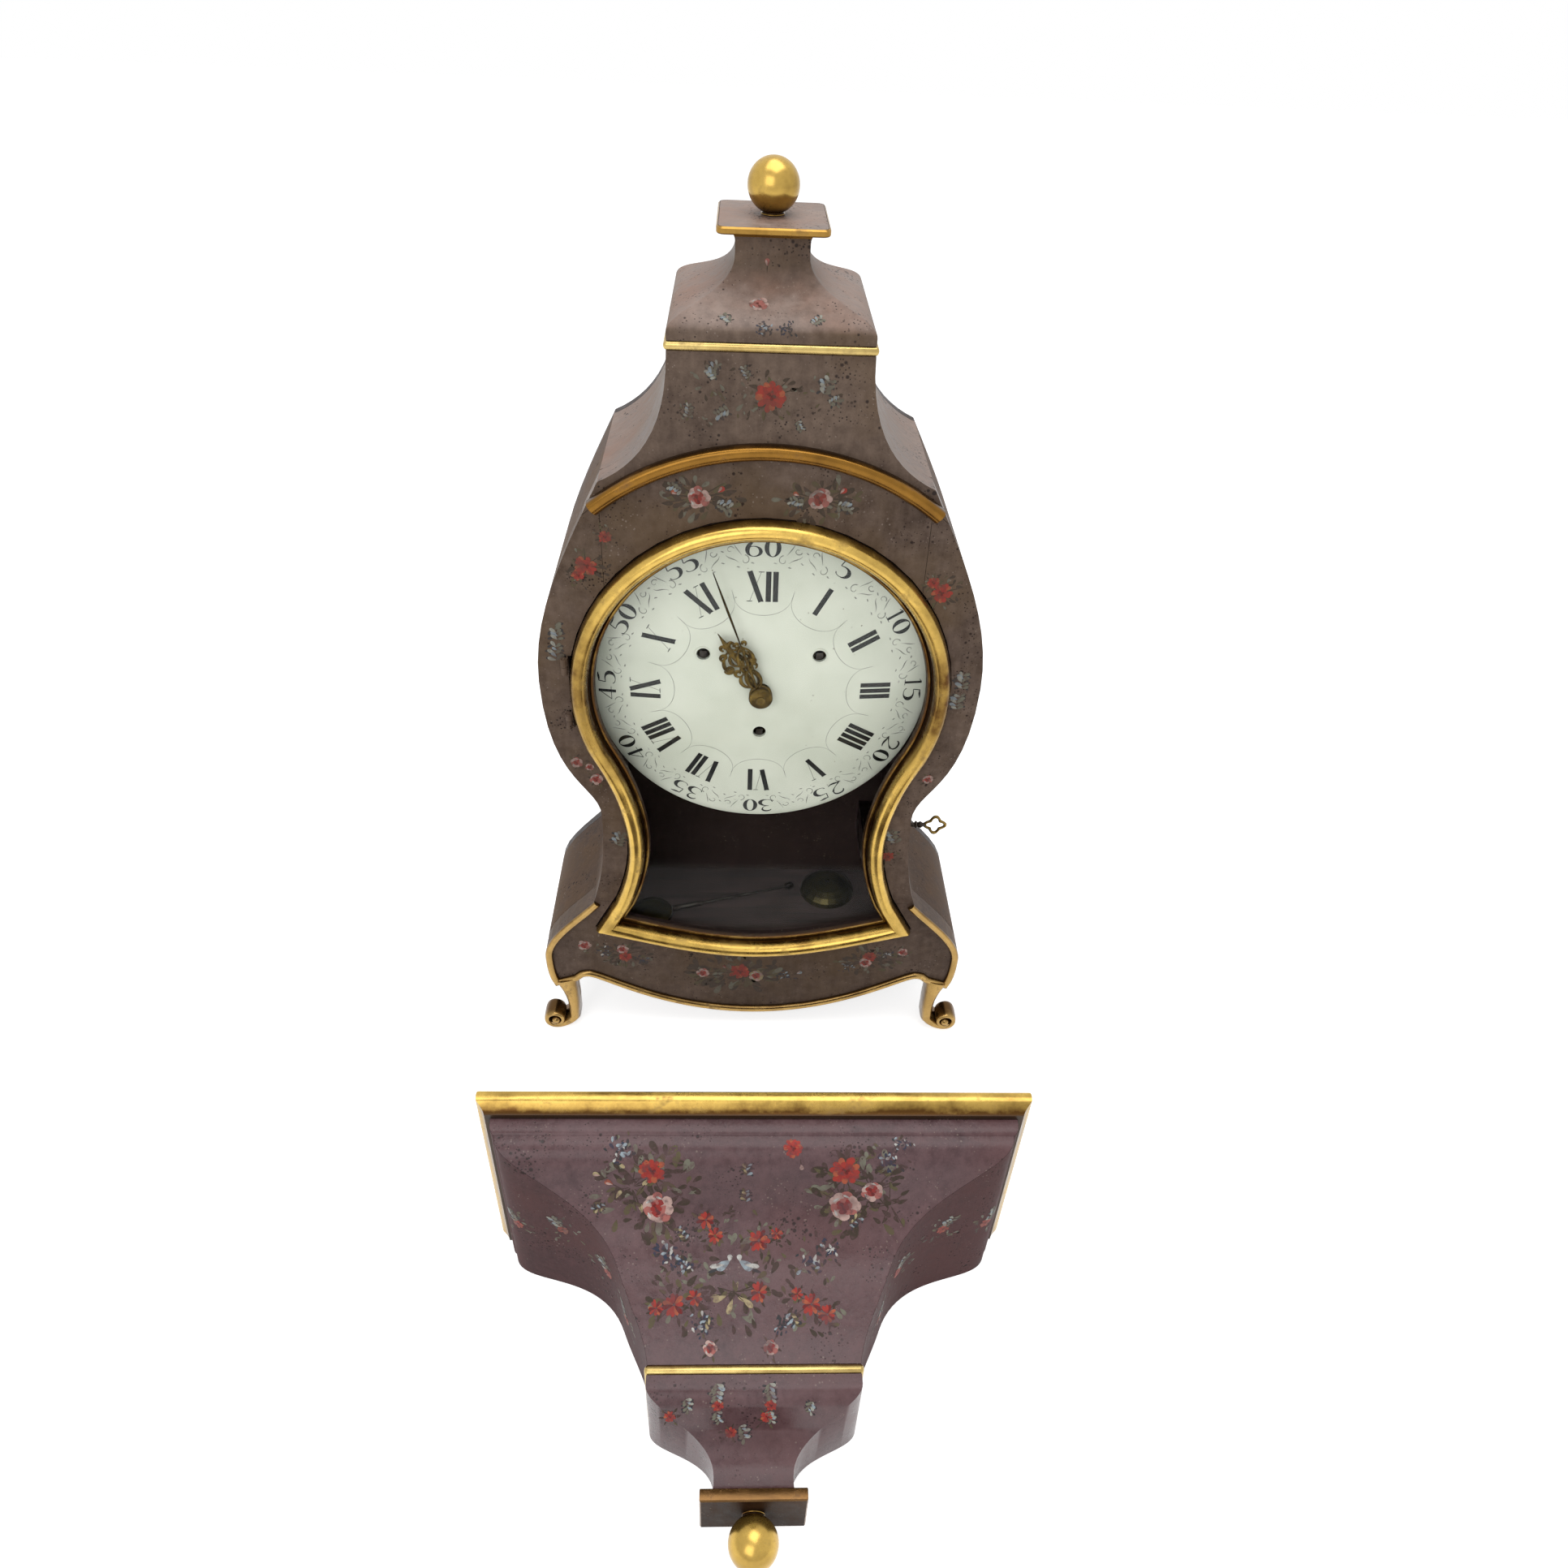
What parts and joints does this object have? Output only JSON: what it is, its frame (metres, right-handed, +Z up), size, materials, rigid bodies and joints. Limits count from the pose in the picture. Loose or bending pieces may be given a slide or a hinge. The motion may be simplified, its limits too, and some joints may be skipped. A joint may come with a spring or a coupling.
{
  "type": "bracket clock",
  "caption": "Waisted painted and gilded bracket clock with a glazed hinged door, domed enamel dial and pierced hands, with its matching wall bracket lying in front.",
  "frame": {"origin": "on the floor, under the middle of the set's bounding box", "axes": "+Z up, +Y towards the clock's back, +X to the right of someone who faces the dial"},
  "size_m": [0.365, 0.5444, 0.6626],
  "materials": {
    "painted_case": "aged mauve-brown paint with flower sprays",
    "painted_bracket": "aged plum paint with flower sprays",
    "gilt_wood": "worn gold leaf over carved wood",
    "bare_wood": "stained, unpolished",
    "enamel": "white vitreous enamel on copper, glossy",
    "glass": "clear old sheet glass",
    "bell_metal": "cast bell metal",
    "iron": "forged iron and steel",
    "gilt_brass": "pierced gilt brass",
    "brass": "worn brass"
  },
  "bodies": {
    "case": {"side_left": "painted_case", "side_right": "painted_case", "back_panel": "painted_case", "hood_roof_left": "painted_case", "hood_roof_right": "painted_case", "hood_front": "painted_case", "front_top_rail": "painted_case", "front_stile_left": "painted_case", "front_stile_right": "painted_case", "base_front": "painted_case", "floor_board": "bare_wood", "seat_board": "bare_wood", "hood_deck": "gilt_wood", "cap": "painted_case", "finial_ball": "gilt_wood", "arch_moulding": "gilt_wood", "base_edging": "gilt_wood", "foot_front_left": "gilt_wood", "foot_front_right": "gilt_wood", "foot_back_left": "painted_case", "foot_back_right": "painted_case", "dial": "enamel", "movement_front_plate": "brass", "movement_back_plate": "brass", "strike_barrel": "brass", "quarter_barrel": "brass", "going_barrel": "brass", "hour_bell": "bell_metal", "back_cock": "brass", "lock_case": "iron", "hinge_case_lower": "brass", "hinge_case_upper": "brass"},
    "door": {"door_bezel": "gilt_wood", "door_glass": "glass", "door_staple": "iron", "hinge_door_lower": "brass", "hinge_door_upper": "brass"},
    "key": {"door_key": "iron"},
    "bolt": {"lock_bolt": "iron"},
    "minute_work": {"minute_hand": "gilt_brass", "cannon_pinion": "brass"},
    "minute_wheel": {"minute_wheel": "brass"},
    "hour_work": {"hour_hand": "gilt_brass", "hour_wheel": "brass"},
    "crutch": {"crutch": "iron"},
    "strike_arbor": {"strike_winding_arbor": "iron"},
    "quarter_arbor": {"quarter_winding_arbor": "iron"},
    "going_arbor": {"going_winding_arbor": "iron"},
    "hammer": {"hour_hammer": "iron"},
    "pendulum": {"pendulum_rod": "brass", "pendulum_bob": "brass"},
    "loose_bell": {"quarter_bell": "bell_metal"},
    "bracket": {"bracket_front": "painted_bracket", "bracket_side_left": "painted_bracket", "bracket_side_right": "painted_bracket", "bracket_top": "painted_bracket", "bracket_moulding": "gilt_wood", "bracket_band": "gilt_wood", "bracket_pendant": "painted_bracket", "bracket_ball": "gilt_wood"}
  },
  "joints": [
    {"name": "door_hinge", "type": "hinge", "parent": "case", "child": "door", "pos_m": [-0.133, 0.147, 0.342], "axis": [0, 0, -1], "range_deg": [0, 40]},
    {"name": "key_turn", "type": "hinge", "parent": "case", "child": "key", "pos_m": [0.1, 0.1982, 0.186], "axis": [1, 0, 0], "range_deg": [0, 90]},
    {"name": "bolt_slide", "type": "slide", "parent": "case", "child": "bolt", "axis": [0, 0, 1], "range_m": [0, 0.008]},
    {"name": "minute_hand_turn", "type": "hinge", "parent": "case", "child": "minute_work", "pos_m": [0, 0.1502, 0.33], "axis": [0, 1, 0], "continuous": true},
    {"name": "minute_wheel_turn", "type": "hinge", "parent": "case", "child": "minute_wheel", "pos_m": [0, 0.1902, 0.3492], "axis": [0, 1, 0], "continuous": true},
    {"name": "hour_hand_turn", "type": "hinge", "parent": "case", "child": "hour_work", "pos_m": [0, 0.1502, 0.33], "axis": [0, 1, 0], "continuous": true},
    {"name": "crutch_swing", "type": "hinge", "parent": "case", "child": "crutch", "pos_m": [0, 0.2532, 0.378], "axis": [0, 1, 0], "range_deg": [-5, 5]},
    {"name": "strike_winding", "type": "hinge", "parent": "case", "child": "strike_arbor", "pos_m": [-0.0405, 0.1802, 0.36], "axis": [0, 1, 0], "range_deg": [0, 1440]},
    {"name": "quarter_winding", "type": "hinge", "parent": "case", "child": "quarter_arbor", "pos_m": [0.0405, 0.1802, 0.36], "axis": [0, 1, 0], "range_deg": [0, 1440]},
    {"name": "going_winding", "type": "hinge", "parent": "case", "child": "going_arbor", "pos_m": [0, 0.1802, 0.295], "axis": [0, 1, 0], "range_deg": [0, 1440]},
    {"name": "hammer_swing", "type": "hinge", "parent": "case", "child": "hammer", "pos_m": [0.034, 0.2102, 0.387], "axis": [0, 1, 0], "range_deg": [0, 12], "stiffness_Nm_per_rad": 0.03},
    {"name": "pendulum_lift", "type": "slide", "parent": "case", "child": "pendulum", "axis": [0, 0, 1], "range_m": [0, 0.03]},
    {"name": "bell_lift", "type": "slide", "parent": "case", "child": "loose_bell", "axis": [0, 0, 1], "range_m": [0, 0.03]},
    {"name": "bracket_draw", "type": "slide", "parent": "case", "child": "bracket", "axis": [0, -1, 0], "range_m": [0, 0.2]}
  ],
  "couplings": [
    {"joint": "key_turn", "follows": "bolt_slide", "rad_per_m": 196.3},
    {"joint": "minute_wheel_turn", "follows": "minute_hand_turn", "ratio": -0.33333},
    {"joint": "hour_hand_turn", "follows": "minute_hand_turn", "ratio": 0.083333}
  ]
}
